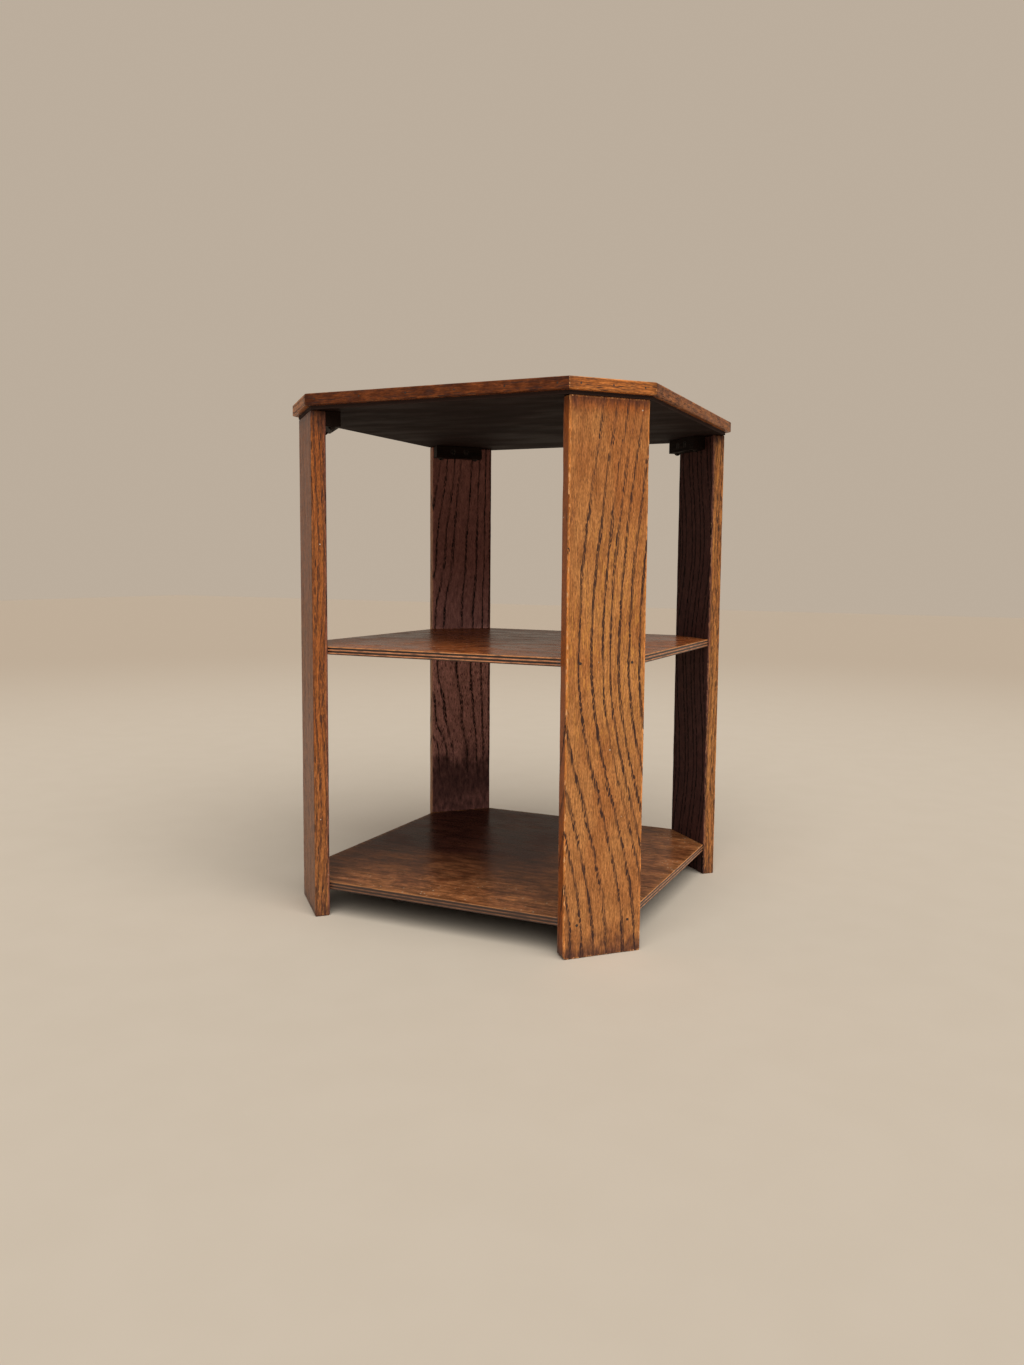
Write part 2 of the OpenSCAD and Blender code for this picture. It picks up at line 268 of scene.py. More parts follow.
# Details of the oak: the darkness across a ring, and how far apart noise is read for rings and pores
RING_BAND = [(0.34, 0.0), (0.44, 0.45), (0.5, 1.0), (0.56, 0.7), (0.66, 0.05), (0.7, 0.0)]
RING_SPREAD = 9.7
PORE_SPREAD = 5.3
SPECK_SPACING = 21.0
SPECK_SIZE = 0.04
OAK_ROUGHNESS = 0.34

# Below which upward tilts a polygon of a shelf, or of the top panel, takes the next of its materials
SHELF_TILTS = (0.9, -0.9)
PANEL_TILTS = (0.5,)


def smooth_path(points, places):
    """Values at places: one number, or a path that eases from each (place, value) to the next."""
    if isinstance(points, (int, float)):
        return np.full(len(places), float(points))
    stops = np.array(points, float)
    span = np.clip(np.searchsorted(stops[:, 0], places) - 1, 0, len(stops) - 2)
    start = stops[span]
    end = stops[span + 1]
    share = np.clip((places - start[:, 0]) / (end[:, 0] - start[:, 0]), 0, 1)
    return start[:, 1] + (end[:, 1] - start[:, 1]) * (1 - np.cos(math.pi * share)) / 2


def noise_at(points, length, seed):
    """Smooth noise from -1 to 1 at each point, with hills about a length apart."""
    shift = Vector((seed * 7.31, seed * 3.17, seed * 5.71))
    return np.array([noise.noise(Vector(p) / length + shift) for p in points])


def worn_at(points, seed, lift):
    """How far an arris is worn at each point, from 0 to 1."""
    return np.clip(noise_at(points, WEAR_LENGTH, seed) + lift, 0, 1)


def vectors_of(items, field):
    """One vector of each item in a mesh, as the rows of an array."""
    values = np.empty(len(items) * 3, np.float32)
    items.foreach_get(field, values)
    return values.reshape(-1, 3).astype(float)


def node_points(node):
    """The corners of a CAD node, in metres."""
    return vectors_of(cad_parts[node].data.vertices, "co")


def loose_parts(node):
    """The corners of each separate solid in a CAD node."""
    shape = bmesh.new()
    shape.from_mesh(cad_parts[node].data)
    bmesh.ops.remove_doubles(shape, verts=shape.verts, dist=1e-7)
    found = set()
    parts = []
    for first in shape.verts:
        grown = [] if first in found else [first]
        found.add(first)
        for vert in grown:
            linked = [edge.other_vert(vert) for edge in vert.link_edges]
            fresh = [other for other in linked if other not in found]
            grown += fresh
            found.update(fresh)
        if grown:
            parts.append(np.array([vert.co for vert in grown]))
    shape.free()
    return parts


class Board:
    """A straight piece of wood in its own axes, in mm: y inwards, z along the grain.

    A leg's x goes along its width, and z up. On a lying strip or block x goes down.
    """

    def __init__(self, node, angle, lying):
        turn = math.radians(angle)
        outward = np.array([math.cos(turn), math.sin(turn), 0.0])
        along = np.array([-math.sin(turn), math.cos(turn), 0.0])
        self.node = node
        self.axes = np.array((-UP, -outward, along) if lying else (along, -outward, UP))
        self.low, self.high = self.reach(node_points(node))

    def reach(self, points):
        """The lowest and highest places of points, in the board's axes."""
        own = self.to_own(points)
        return own.min(0), own.max(0)

    def to_own(self, points):
        """Points of the table, in the board's axes."""
        return points @ self.axes.T / MM

    def to_table(self, points):
        """Points in the board's axes, as points of the table."""
        return points @ self.axes * MM

    def grid(self, cuts, steps):
        """Points and quads of the board's box, with the given cuts and steps along each axis."""
        spans = zip(self.low, self.high, cuts, steps)
        return box_grid([cut_lines(low, high, near, step) for low, high, near, step in spans])


def cut_lines(low, high, near, step):
    """Places from low to high: at the listed distances from both ends, then about a step apart."""
    inner = np.linspace(low + near[-1], high - near[-1], max(2, round((high - low) / step)))
    first = [low + gap for gap in near[:-1]]
    last = [high - gap for gap in reversed(near[:-1])]
    return np.array([*first, *inner, *last])


def box_grid(lines):
    """Points and outward quads of a closed box, cut along the given lines of each axis."""
    index = {}
    quads = []
    square = ((0, 0), (1, 0), (1, 1), (0, 1))
    for axis in range(3):
        second = (axis + 1) % 3
        third = (axis + 2) % 3
        for side in (0, len(lines[axis]) - 1):
            for m in range(len(lines[second]) - 1):
                for n in range(len(lines[third]) - 1):
                    quad = []
                    for step_m, step_n in square:
                        place = [side, side, side]
                        place[second] = m + step_m
                        place[third] = n + step_n
                        quad.append(index.setdefault(tuple(place), len(index)))
                    quads.append(quad if side else quad[::-1])
    points = [[lines[axis][place[axis]] for axis in range(3)] for place in index]
    return np.array(points), quads


def round_edges(points, low, high, radius, axes=(0, 1, 2)):
    """Rounds a box's edges between the given axes; returns the new points and their normals."""
    core = points.copy()
    for axis in axes:
        core[:, axis] = np.clip(points[:, axis], low[axis] + radius, high[axis] - radius)
    away = points - core
    reach = np.linalg.norm(away, axis=1)
    normals = away / np.maximum(reach, TINY)[:, None]
    outside = reach > TINY
    rounded = points.copy()
    rounded[outside] = (core + normals * np.asarray(radius).reshape(-1, 1))[outside]
    return rounded, normals


def ease_foot(points, low, radius):
    """Rounds off the lower corner at a leg's first narrow side."""
    centre = low[[0, 2]] + radius
    away = centre - points[:, [0, 2]]
    reach = np.hypot(away[:, 0], away[:, 1])
    beyond = (away.min(1) > 0) & (reach > radius)
    eased = points.copy()
    eased[np.ix_(beyond, [0, 2])] = centre - away[beyond] * (radius / reach[beyond])[:, None]
    return eased


def mesh_piece(name, points, quads):
    """A new object with smooth faces."""
    mesh = bpy.data.meshes.new(name)
    mesh.from_pydata([tuple(p) for p in points], [], quads)
    mesh.update()
    mesh.polygons.foreach_set("use_smooth", [True] * len(mesh.polygons))
    piece = bpy.data.objects.new(name, mesh)
    bpy.context.scene.collection.objects.link(piece)
    return piece


def hull_of(parts):
    """A mesh of the parts' convex hulls, each grown a little from its own middle."""
    shape = bmesh.new()
    for part in parts:
        middle = (part.min(0) + part.max(0)) / 2
        half = (part.max(0) - part.min(0)) / 2
        grown = middle + (part - middle) * (1 + HOLE_CLEARANCE * MM / half.min())
        verts = [shape.verts.new(p) for p in grown]
        hull = bmesh.ops.convex_hull(shape, input=verts)
        spare = [v for v in hull["geom_interior"] if isinstance(v, bmesh.types.BMVert)]
        bmesh.ops.delete(shape, geom=spare, context="VERTS")
    bmesh.ops.recalc_face_normals(shape, faces=shape.faces)
    mesh = bpy.data.meshes.new("hull")
    shape.to_mesh(mesh)
    shape.free()
    return mesh


def drill(piece, parts):
    """Cuts the places of the fastener parts out of a piece."""
    cutter = bpy.data.objects.new("cutter", hull_of(parts))
    bpy.context.scene.collection.objects.link(cutter)
    cut = piece.modifiers.new("holes", "BOOLEAN")
    cut.operation = "DIFFERENCE"
    cut.solver = "MANIFOLD"
    cut.object = cutter
    bpy.context.view_layer.update()
    whole = piece.data
    seen = piece.evaluated_get(bpy.context.evaluated_depsgraph_get())
    piece.data = bpy.data.meshes.new_from_object(seen)
    piece.data.name = whole.name
    piece.modifiers.clear()
    bpy.data.objects.remove(cutter)
    bpy.data.meshes.remove(whole)
    piece.data.set_sharp_from_angle(angle=SHARP_ANGLE)


def parts_near(node, board, margin):
    """The fastener parts of a CAD node whose middle lies within a board's box."""
    found = []
    for part in loose_parts(node):
        middle = sum(board.reach(part)) / 2
        if np.all(middle > board.low - margin) and np.all(middle < board.high + margin):
            found.append(part)
    return found


def store(piece, name, *values):
    """Keeps one number or vector for each corner of a mesh, for its material to read."""
    flat = np.stack(values, 1).astype(np.float32)
    kind, field = ("FLOAT_VECTOR", "vector") if len(values) == 3 else ("FLOAT", "value")
    layer = piece.data.attributes.new(name, kind, "POINT")
    layer.data.foreach_set(field, flat.ravel())


def nearness(spot, across, along):
    """How near each point is to a spot on a board, from 0 far off to 1 in its middle."""
    spot_across, spot_along, width, height = spot
    return np.exp(-np.hypot((across - spot_across) / width, (along - spot_along) / height)**2)


def ring_place(figure, across, depth, along):
    """Which ring of its log each point of a board lies on, counted in rings."""
    drift = smooth_path(figure["drift"], along)
    straight = (across - drift) / smooth_path(figure["stretch"], along)
    straight += figure["lean"] * (depth - figure["seen_depth"])
    if "knot" in figure:
        straight -= KNOT_PUSH * nearness(figure["knot"], across, along)
    return np.interp(straight, figure["rings"], range(len(figure["rings"])))


def ring_flow(figure, place, normals):
    """Rings that pass each point per mm: down along its face, and across it square to the grain."""

    def change(axis):
        half_mm = np.zeros(3)
        half_mm[axis] = 0.5
        return ring_place(figure, *(place + half_mm).T) - ring_place(figure, *(place - half_mm).T)

    level = normals[:, :2] / np.maximum(np.linalg.norm(normals[:, :2], axis=1), 1e-6)[:, None]
    density = np.abs(change(1) * level[:, 0] - change(0) * level[:, 1])
    return -change(2), np.maximum(density, LEAST_DENSITY)


def grain_board(piece, board, figure, inner_joint):
    """Stores what a board's material reads: rings, fibres, nearness to its edges, and tones."""
    own = board.to_own(vectors_of(piece.data.vertices, "co"))
    normals = vectors_of(piece.data.vertex_normals, "vector") @ board.axes.T
    place = own - board.low
    across, depth, along = place.T
    size = board.high - board.low
    tones = {**PLAIN_TONES, **BOARD_TONES.get(board.node, {})}
    ragged = along + RAGGED_REACH * noise_at(own, RAGGED_LENGTH, figure["seed"] + 2)
    inner = np.clip((depth / size[1] - INNER_FROM) / INNER_OVER, 0, 1)
    outer = np.clip(-normals[:, 1], 0, 1)**2
    # Inner faces take a painted shade colour, the more so deeper into the board
    shade = smooth_path(tones["inner_shade"], along) * inner
    # Paler inner face, partly dust and partly painted light
    dust_and_light = smooth_path(tones["inner_dust_and_light"], ragged) * inner
    # Dark tone: dirt, and painted shade on inner faces and on the outer face
    dark = np.maximum(smooth_path(tones["dark"], ragged), smooth_path(tones["inner_dirt_and_shade"], ragged) * inner)
    dark = np.maximum(dark, tones["outer_painted_shade"] * outer)
    red = smooth_path(tones["red"], along)
    red = np.maximum(red, tones["low_side"] * np.clip(1 - across / SIDE_REACH, 0, 1))
    strength = smooth_path(tones["rings"], along)
    if "bare" in figure:
        strength = strength * (1 - BARE_SHARE * nearness(figure["bare"], across, along))
    strength = strength * (1 - (1 - tones["face_rings"]) * outer)
    far_side = board.high.copy()
    if inner_joint:
        far_side[1] += UNSEEN
    gaps = np.sort(np.abs(np.minimum(own - board.low, far_side - own)), axis=1)
    edge = gaps[:, 1] / tones["wear"]
    end = np.minimum(along, size[2] - along)
    slant, density = ring_flow(figure, place, normals)
    store(piece, "ring", ring_place(figure, across, depth, along))
    store(piece, "flow", slant, density, dust_and_light)
    store(piece, "fibre", *(own + figure["seed"] * FIBRE_SHIFT).T)
    store(piece, "finish", edge, end, shade)
    store(piece, "tone", strength, dark, red)


def even_figure(seed, spacing, lean):
    """A plain figure for a small board: rings about evenly spaced, with a little drift."""
    chance = np.random.default_rng(seed)
    rings = np.cumsum(spacing * chance.uniform(0.6, 1.4, 60)) - 30 * spacing
    drift = [(place, spacing * chance.uniform(-0.5, 0.5)) for place in range(0, 301, 60)]
    return {**PLAIN_FIGURE, "rings": rings, "drift": drift, "lean": lean, "seed": seed}


def finish_board(board, points, quads, figure, fasteners, margin=1.0, inner_joint=False):
    """Makes a board of its points, drills it for the fasteners near it, and stores its grain."""
    piece = mesh_piece(f"{board.node}_wood", board.to_table(points), quads)
    drill(piece, parts_near(fasteners, board, margin))
    grain_board(piece, board, figure, inner_joint)
    return piece


def make_leg(corner):
    """One plank leg with worn arrises, drilled where its nails are stopped."""
    board = Board(f"{corner}_leg", CORNERS[corner], lying=False)
    figure = {**PLAIN_FIGURE, **LEG_FIGURES[corner]}
    points, quads = board.grid([LEG_CUTS] * 3, LEG_STEPS)
    worn = worn_at(points, figure["seed"], 0.15)
    points, normals = round_edges(points, board.low, board.high, LEG_ARRIS + LEG_ARRIS_WEAR * worn)
    hollow = 0.5 + 0.5 * noise_at(points, UNEVEN_LENGTH, figure["seed"] + 1)
    points -= normals * (UNEVEN_DEPTH * hollow)[:, None]
    if corner == "front_right":
        points = ease_foot(points, board.low, FRONT_FOOT_CORNER)
    return finish_board(board, points, quads, figure, "nail_stopping")


def make_block(corner, seed):
    """One square batten under the top, drilled for its countersunk screws."""
    board = Board(f"{corner}_block", CORNERS[corner], lying=True)
    points, quads = board.grid([BLOCK_CUTS] * 3, BLOCK_STEPS)
    points, normals = round_edges(points, board.low, board.high, BLOCK_ARRIS)
    hollow = 0.5 + 0.5 * noise_at(points, UNEVEN_LENGTH / 3, seed)
    points -= normals * (UNEVEN_DEPTH * hollow)[:, None]
    figure = even_figure(seed, spacing=3.0, lean=0.7)
    return finish_board(board, points, quads, figure, "leg_screws", SCREW_MARGIN)


def make_strip(side, angle, seed):
    """One lipping strip, mitred at both ends and rounded at its edges and the table's corners."""
    board = Board(f"{side}_lipping", angle, lying=True)
    points, quads = board.grid((STRIP_CUTS, STRIP_CUTS, STRIP_END_CUTS), STRIP_STEPS)
    depth = points[:, 1] - board.low[1]
    thick = board.high[1] - board.low[1]
    half = (board.high[2] - board.low[2]) / 2 - MITRE_GAP / 2
    middle = (board.high[2] + board.low[2]) / 2
    worn = worn_at(points, seed, 0.1)
    radius = np.where(depth < thick / 2, STRIP_ARRIS * (0.8 + 0.4 * worn), STRIP_JOINT_ARRIS)
    along = points[:, 2].copy()
    points, normals = round_edges(points, board.low, board.high, radius, axes=(0, 1))
    hollow = 0.5 + 0.5 * noise_at(points, UNEVEN_LENGTH, seed + 1)
    points[:, 1] += np.clip(-normals[:, 1], 0, 1) * UNEVEN_DEPTH * hollow
    tangent = STRIP_CORNER_RADIUS * MITRE
    into = np.clip(tangent - (half - np.abs(along - middle)), 0, tangent)
    bend = STRIP_CORNER_RADIUS - np.sqrt(STRIP_CORNER_RADIUS**2 - into**2)
    points[:, 1] += bend * (1 - depth / thick)
    inner = points[:, 1] - board.low[1]
    points[:, 2] = middle + (along - middle) * (half - inner * MITRE) / (half + MITRE_GAP / 2)
    figure = even_figure(seed, spacing=5.0, lean=0.8)
    return finish_board(board, points, quads, figure, "pin_stopping", inner_joint=True)


def octagon(half, cut, inset, scale):
    """Points round a square with cut corners, moved in by an inset, then scaled, in mm."""
    side = half - inset
    corner = (cut - inset) * math.sqrt(2) - side
    turns = [(side, -corner), (side, corner), (corner, side), (-corner, side)]
    turns = np.array(turns + [(-x, -y) for x, y in turns])
    sides = []
    for place, start in enumerate(turns):
        steps = SHORT_STEPS if place % 2 else LONG_STEPS
        share = np.arange(steps)[:, None] / steps
        sides.append(start + (turns[(place + 1) % 8] - start) * share)
    return np.concatenate(sides) * scale


def loft_plate(node, profile):
    """A plate of a node's outline, lofted through a profile of (inset, height, scale), top first."""
    points = node_points(node) / MM
    half = points[:, 0].max()
    cut = ((points[:, 0] + points[:, 1]) / math.sqrt(2)).max()
    loops = []
    for inset, height, scale in profile:
        loop = octagon(half, cut, inset, scale)
        loops.append(np.column_stack([loop, np.full(len(loop), height)]))
    count = len(loops[0])
    last = (len(loops) - 1) * count
    quads = []
    for upper in range(0, last, count):
        lower = upper + count
        for k in range(count):
            after = (k + 1) % count
            quads.append([upper + k, lower + k, lower + after, upper + after])
    quads.append(list(range(count)))
    quads.append([last + k for k in reversed(range(count))])
    return mesh_piece(f"{node}_wood", np.concatenate(loops) * MM, quads), half, cut


def eased_face(arris, height, way):
    """Profile of a plate's face and of its eased edge, which goes up or down from it."""
    profile = [(FACE_MARGIN, height, step / FACE_STEPS) for step in range(1, FACE_STEPS)]
    profile += [(inset, height, 1.0) for inset in (*FACE_CUTS, arris)]
    for step in range(1, ARRIS_STEPS):
        turn = math.pi / 2 * step / ARRIS_STEPS
        profile.append((arris * (1 - math.sin(turn)), height + way * arris * (1 - math.cos(turn)), 1.0))
    return profile


def shelf_profile(low, high):
    """Profile of a shelf: flat faces, eased edges and plies whose end grain has shrunk back."""
    edge = []
    top = high
    for ply, share in enumerate(PLY_SHARES):
        bottom = top - share * (high - low)
        inset = PLY_GROOVE if ply % 2 else 0.0
        upper = min(top, high - SHELF_ARRIS) - PLY_SLOPE
        lower = max(bottom, low + SHELF_ARRIS) + PLY_SLOPE
        edge += [(inset, height, 1.0) for height in (upper, (upper + lower) / 2, lower)]
        top = bottom
    return eased_face(SHELF_ARRIS, high, -1) + edge + eased_face(SHELF_ARRIS, low, 1)[::-1]


def panel_profile(low, high):
    """Profile of the top panel: a tight joint at its upper edge and an eased lower edge."""
    heights = [high - PANEL_JOINT_ARRIS]
    heights += [low + share * (high - low) for share in PANEL_CUT_SHARES]
    heights += [low + PANEL_ARRIS]
    edge = [(0.0, height, 1.0) for height in heights]
    return eased_face(PANEL_JOINT_ARRIS, high, -1) + edge + eased_face(PANEL_ARRIS, low, 1)[::-1]


def veneer_rings(own):
    """Which ring each point of a plate lies on, and how many rings pass it per mm."""
    from_heart = own[:, 1] - HEART_PLACE + HEART_SWAY * np.sin(own[:, 0] / HEART_SWAY_LENGTH)
    radius = np.hypot(from_heart, HEART_DEPTH)
    uneven = radius
    rate = 1
    for amount, length, shift in RING_WAVES:
        uneven = uneven + amount * np.sin(radius / length + shift)
        rate = rate + amount / length * np.cos(radius / length + shift)
    density = np.abs(from_heart) / radius * rate / FACE_RING_WIDTH
    return uneven / FACE_RING_WIDTH + 0.5, np.maximum(density, LEAST_DENSITY)


def grain_plate(piece, outline, heights, seed, first_tone, rub=0.0, front_grime=0.0, top_joint=False):
    """Stores what a plate's material reads, as for a board, and its plies."""
    half, cut = outline
    low, high = heights
    own = vectors_of(piece.data.vertices, "co") / MM
    level = np.abs(own[:, :2])
    inset = np.minimum(half - level.max(1), cut - level.sum(1) / math.sqrt(2))
    if top_joint:
        inset = np.where(own[:, 2] > (low + high) / 2, UNSEEN, inset)
    depth = (high - own[:, 2]) / (high - low)
    plies = np.interp(depth, np.concatenate([[0], np.cumsum(PLY_SHARES)]), range(len(PLY_SHARES) + 1))
    nothing = np.zeros(len(own))
    # Lighter towards the front and right, as wear and painted light; painted shade towards the left
    front = smooth_path(FRONT_WEAR_AND_LIGHT, -own[:, 1]) * smooth_path(LEFT_SHADE_FADE, own[:, 0])
    right = smooth_path(FRONT_WEAR_AND_LIGHT, own[:, 0])
    rubbed = np.clip(rub + np.maximum(front, right), 0, 1)
    grime = front_grime * np.clip((GRIME_REACH - half - own[:, 1]) / GRIME_FADE, 0, 1)
    ring, density = veneer_rings(own)
    store(piece, "ring", ring)
    store(piece, "flow", nothing, density, nothing)
    store(piece, "fibre", *(own[:, [1, 2, 0]] + seed * FIBRE_SHIFT).T)
    store(piece, "finish", inset, nothing + UNSEEN, nothing)
    store(piece, "ply", plies)
    store(piece, "tone", nothing + first_tone, grime, rubbed)


class Shader:
    """Adds nodes to a new material or world, so that it reads as a list of steps."""

    def __init__(self, name, owners=bpy.data.materials, kind="Material"):
        self.owner = owners.new(name)
        self.owner.use_nodes = True
        self.tree = self.owner.node_tree
        self.tree.nodes.clear()
        self.output = self.tree.nodes.new(f"ShaderNodeOutput{kind}")

    def feed(self, socket, value):
        """Links a wire to a socket, or sets the socket itself to a plain value."""
        if isinstance(value, Wire):
            self.tree.links.new(value.socket, socket)
        elif socket.type == "RGBA":
            socket.default_value = (*value, 1.0)
        else:
            socket.default_value = value

    def node(self, kind, output, inputs, **settings):
        """Adds a node with its settings and inputs, and returns one of its outputs as a wire."""
        node = self.tree.nodes.new(f"ShaderNode{kind}")
        for name, value in settings.items():
            setattr(node, name, value)
        for place, value in inputs.items():
            self.feed(node.inputs[place], value)
        return Wire(self, node.outputs[output])

    def done(self, **values):
        """Gives the material a surface, with underscores for spaces in its sockets' names."""
        inputs = {name.replace("_", " "): value for name, value in values.items()}
        surface = self.node("BsdfPrincipled", "BSDF", inputs)
        self.feed(self.output.inputs["Surface"], surface)
        return self.owner

    def attribute(self, name, output="Vector"):
        """What a mesh stores under a name."""
        return self.node("Attribute", output, {}, attribute_name=name)

    def parts(self, name):
        """The three parts of a vector that a mesh stores under a name."""
        return self.attribute(name).split()

    def place(self):
        """Where a point lies in its object, in mm."""
        return self.node("TexCoord", "Object", {}).scaled((MM, MM, MM))

    def joined(self, *values):
        """A vector of three values."""
        return self.node("CombineXYZ", 0, dict(enumerate(values)))

    def mix(self, share, first, second, blend="MIX"):
        """A first colour mixed with a share of a second one."""
        inputs = {"Factor": share, 6: first, 7: second}
        return self.node("Mix", 2, inputs, data_type="RGBA", blend_type=blend)

    def bump(self, height, depth, strength):
        """A normal from a height, which goes from 0 to 1 over a depth in mm."""
        return self.node("Bump", "Normal", {"Distance": depth * MM, "Strength": strength, "Height": height})


class Wire:
    """A value on its way through the nodes. To reckon with it adds the nodes for that."""

    def __init__(self, shader, socket):
        self.shader = shader
        self.socket = socket

    def math(self, operation, second=0.0):
        return self.shader.node("Math", 0, {0: self, 1: second}, operation=operation)

    def __add__(self, other):
        return self.math("ADD", other)

    def __sub__(self, other):
        return self.math("SUBTRACT", other)

    def __rsub__(self, other):
        return self.shader.node("Math", 0, {0: other, 1: self}, operation="SUBTRACT")

    def __mul__(self, other):
        return self.math("MULTIPLY", other)

    def __truediv__(self, other):
        return self.math("DIVIDE", other)

    def split(self):
        """The three parts of a vector."""
        first = self.shader.node("SeparateXYZ", 0, {0: self})
        return [Wire(self.shader, socket) for socket in first.socket.node.outputs]

    def length(self):
        return self.shader.node("VectorMath", "Value", {0: self}, operation="LENGTH")

    def scaled(self, size):
        """A vector divided by a size along each axis."""
        return self.shader.node("VectorMath", 0, {0: self, 1: size}, operation="DIVIDE")

    def noise(self, size, detail=2.0, roughness=0.5):
        """Smooth noise about 0.5, with hills about a size apart, in mm."""
        inputs = {"Vector": self.scaled(size), "Scale": 1.0, "Detail": detail, "Roughness": roughness}
        return self.shader.node("TexNoise", "Fac", inputs)

    def swing(self, size, amount, detail=1.0):
        """Noise about zero, of about the given amount."""
        return (self.noise(size, detail) - 0.5) * amount

    def cells(self, size):
        """Distance to the nearest of many scattered points, about a size apart, in mm."""
        return self.shader.node("TexVoronoi", "Distance", {"Vector": self.scaled(size), "Scale": 1.0})

    def rise(self, low=0.3, high=0.7, first=0.0, last=1.0):
        """An eased step from the first to the last value, as this one goes from low to high."""
        inputs = {"Value": self, "From Min": low, "From Max": high, "To Min": first, "To Max": last}
        return self.shader.node("MapRange", "Result", inputs, interpolation_type="SMOOTHSTEP")

    def curve(self, stops):
        """A value read off a curve of (place, height) stops."""
        wire = self.shader.node("ValToRGB", "Color", {"Fac": self})
        ramp = wire.socket.node.color_ramp
        ramp.interpolation = "EASE"
        while len(ramp.elements) < len(stops):
            ramp.elements.new(0.5)
        for element, (place, height) in zip(ramp.elements, stops):
            element.position = place
            element.color = (height, height, height, 1.0)
        return wire

    def between(self, first, second):
        """The first colour where this value is 0, and the second where it is 1."""
        return self.shader.mix(self, first, second)


class Oak(Shader):
    """A material that has read what an oak board stores."""

    def __init__(self, name):
        super().__init__(name)
        self.fibre = self.attribute("fibre")
        _, _, self.along = self.fibre.split()
        self.slant, self.density, self.dust_and_light = self.parts("flow")
        self.edge, self.end, self.shade = self.parts("finish")
        self.strength, self.dark, self.red = self.parts("tone")


def pore_row(wood, ring, weight, steady, offset, breadth, length, wander):
    """A row of short dark pores along each ring, side by side in echelon, from 0 to 1. Sizes are in mm.

    The weight widens the row, and no pore is fainter than the steady value.
    """
    place = wood.along / length + wood.fibre.swing((5, 5, 40), 5.0)
    tooth = place.math("FRACT") - 0.5
    upright = wood.slant * length * tooth
    aside = wood.fibre.swing((wander, wander, 3 * wander), 2.4) - offset
    count = ring + upright + aside * wood.density + 0.5
    off_centre = (count.math("FRACT") - 0.5).math("ABSOLUTE")
    half_width = wood.density.math("POWER", 0.75) * breadth * weight.rise(0.3, 1.3, 0.35, 1.2)
    reach = off_centre / half_width + tooth * tooth * 3.0
    single = wood.joined(count.math("FLOOR") * RING_SPREAD, place.math("FLOOR") * PORE_SPREAD, wander)
    depth = single.noise((1, 1, 1), 0.0).rise(0.3, 0.5, 0.55, 1.0)
    return reach.rise(1.2, 0.7) * depth.math("MAXIMUM", steady)


def oak_pores(wood):
    """The dark band along each ring, and the pores: rows on the rings, dashes, fine pores and dots."""
    fibre = wood.fibre
    ring = wood.attribute("ring", "Fac") + fibre.swing((16, 16, 60), 0.35)
    ring = ring + fibre.swing((4, 4, 22), 0.14, 2.0) + fibre.swing((3, 3, 9), 0.12)
    count = ring + 0.5
    lane = wood.joined(count.math("FLOOR") * RING_SPREAD, 0.0, wood.along)
    steady = wood.shade * 0.9
    weight = lane.noise((1, 1, 60)).rise(0.32, 0.56, 0.7, 1.2).math("MAXIMUM", steady) * wood.strength
    band = count.math("FRACT").curve(RING_BAND) * weight
    first = pore_row(wood, ring, weight, steady, offset=-0.5, breadth=0.40, length=9.0, wander=13.0)
    second = pore_row(wood, ring, weight, steady, offset=0.9, breadth=0.28, length=7.0, wander=17.0)
    second = second * weight.rise(0.45, 0.9)
    side = wood.density.rise(0.13, 0.2)
    rows = first.math("MAXIMUM", second) * weight.rise(0.2, 0.9) * (1.0 - side * 0.5)
    dashes = fibre.cells((1.8, 1.8, 17)).rise(0.35, 0.24) * (side * weight.rise(0.3, 0.9))
    reach = band * 0.2 + fibre.swing((4, 4, 30), 0.4)
    fine = (fibre.cells((1.2, 1.2, 6)) - reach).rise(0.32, 0.16, 0.0, 0.5)
    dots = fibre.cells((2.2, 2.2, 10)).rise(0.28, 0.16) * wood.dust_and_light
    rows = rows.math("MAXIMUM", dashes).math("MAXIMUM", dots)
    return band, fine.math("MAXIMUM", rows)


def oak_ground(wood, light, deep, worn, grime):
    """The stained wood between the pores: mottled, rubbed at its arrises, dirty, and darkened as painted
    shade.
    """
    fibre = wood.fibre
    stripes = fibre.noise((5, 5, 70), 3.0, 0.6)
    mottle = fibre.noise((16, 16, 40), 2.0, 0.6)
    patches = fibre.noise((40, 40, 110), 1.0)
    colour = mottle.rise(0.36, 0.64).between(deep, light)
    colour = stripes.rise(0.47, 0.63, 0.0, 0.3).between(colour, deep)
    colour = patches.rise(0.46, 0.62, 0.0, 0.25).between(colour, OAK_RED)
    colour = wood.red.between(colour, OAK_RED)
    rubbed = wood.edge.rise(2.0, 0.9) * stripes.rise(0.3, 0.46)
    colour = rubbed.between(colour, worn)
    ends = wood.end + fibre.swing((6, 6, 34), 26.0)
    colour = ends.rise(12.0, 0.0, 0.0, 0.5).between(colour, grime)
    # Inner faces take the painted shade colour, turning paler towards the dust and painted light colour
    colour = wood.shade.between(colour, wood.dust_and_light.between(OAK_PAINTED_SHADE, OAK_DUST_AND_LIGHT))
    # The dark tone, partly dirt and partly painted shade, darkens towards the grimy colour with a ragged
    # border
    dark_border = wood.dark * (1.0 - wood.dark) * fibre.swing((5, 5, 11), 7.0, 3.0)
    return (wood.dark + dark_border).between(colour, grime)


